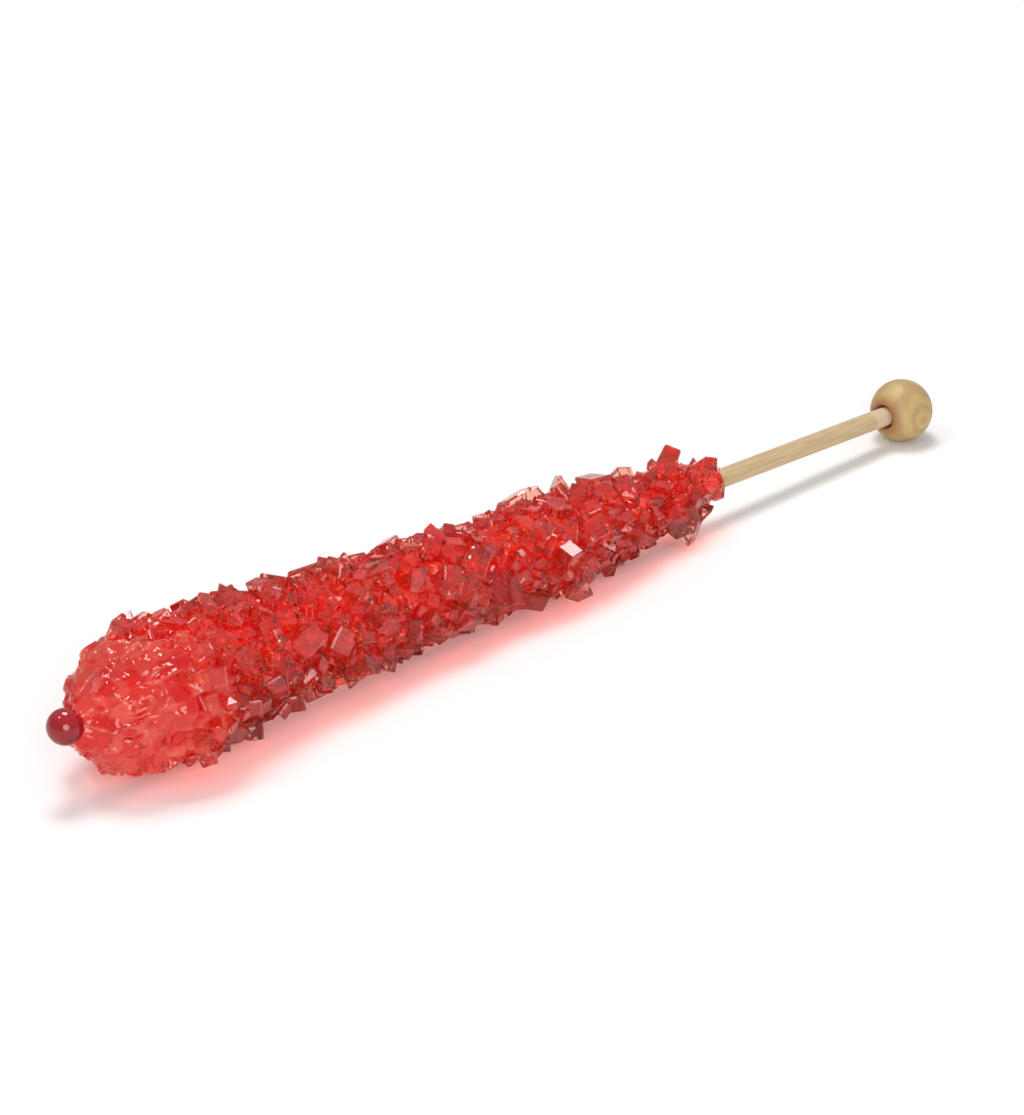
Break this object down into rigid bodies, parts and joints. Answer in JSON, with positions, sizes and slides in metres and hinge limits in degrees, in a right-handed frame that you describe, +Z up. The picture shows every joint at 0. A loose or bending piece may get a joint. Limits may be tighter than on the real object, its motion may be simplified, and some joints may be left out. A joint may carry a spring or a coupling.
{
  "type": "rock candy stick",
  "caption": "Red rock candy crystals grown on a wooden dowel with a turned wooden ball as a handle, lying on its side.",
  "frame": {"origin": "middle of the outline, at the surface that the stick lies on", "axes": "+X along the stick from the candy's tip towards the ball, +Z up as it lies"},
  "size_m": [0.1776, 0.0212, 0.0221],
  "materials": {
    "sugar": "clear red sugar crystals with bright facets",
    "dowel_wood": "bare pale dowel",
    "ball_wood": "bare turned ball"
  },
  "bodies": {
    "root": {"candy": "sugar", "stick": "dowel_wood", "ball": "ball_wood"}
  },
  "joints": []
}
